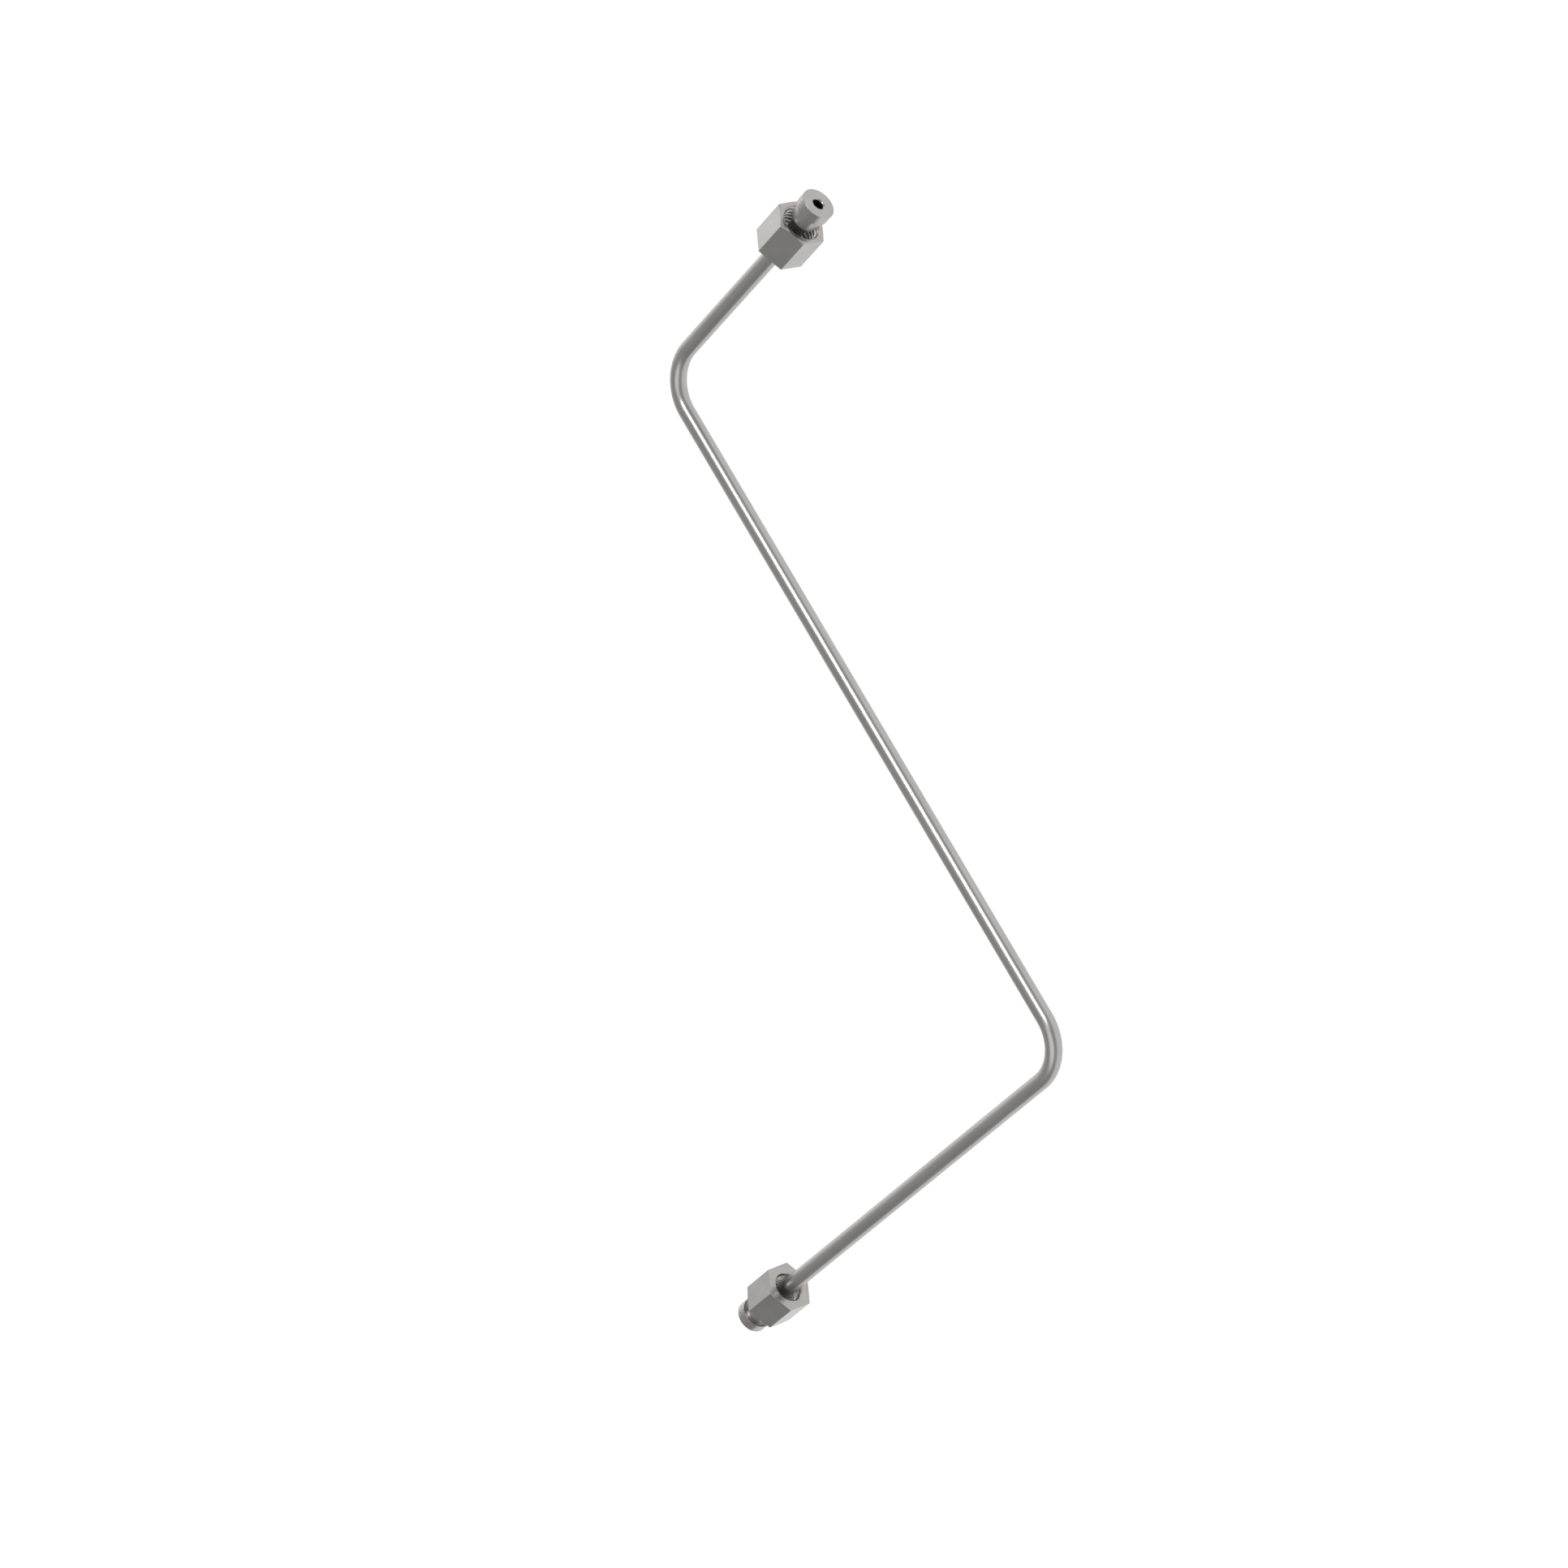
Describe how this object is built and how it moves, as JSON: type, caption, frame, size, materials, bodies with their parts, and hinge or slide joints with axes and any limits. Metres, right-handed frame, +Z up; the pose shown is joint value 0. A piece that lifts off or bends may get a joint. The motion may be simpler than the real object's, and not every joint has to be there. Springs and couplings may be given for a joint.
{
  "type": "brake line",
  "caption": "Rigid steel brake pipe bent into a flat Z, with a flat-faced nipple brazed on each end and a loose hexagon union nut behind each nipple.",
  "frame": {"origin": "centre of the upper nipple's sealing face", "axes": "+Z up, with the line lying as it rests on a flat surface; +X along the middle run, seen from above; +Y out of the upper end, seen from above"},
  "size_m": [0.2979, 0.2994, 0.0201],
  "materials": {
    "pipe_steel": "bright drawn steel, smooth and reflective",
    "nipple_steel": "turned steel, satin with fine turning marks",
    "nut_steel": "machined steel, satin flats with fine grinding marks"
  },
  "bodies": {
    "line": {"pipe": "pipe_steel", "upper_nipple": "nipple_steel", "lower_nipple": "nipple_steel"},
    "upper_union": {"upper_nut": "nut_steel"},
    "lower_union": {"lower_nut": "nut_steel"}
  },
  "joints": [
    {"name": "upper_nut_slide", "type": "slide", "parent": "line", "child": "upper_union", "axis": [-0.0008, 0.9992, -0.0411], "range_m": [-0.0585, 0.0195]},
    {"name": "lower_nut_slide", "type": "slide", "parent": "line", "child": "lower_union", "axis": [0.0008, -0.9992, 0.0411], "range_m": [-0.1585, 0.0195]}
  ]
}
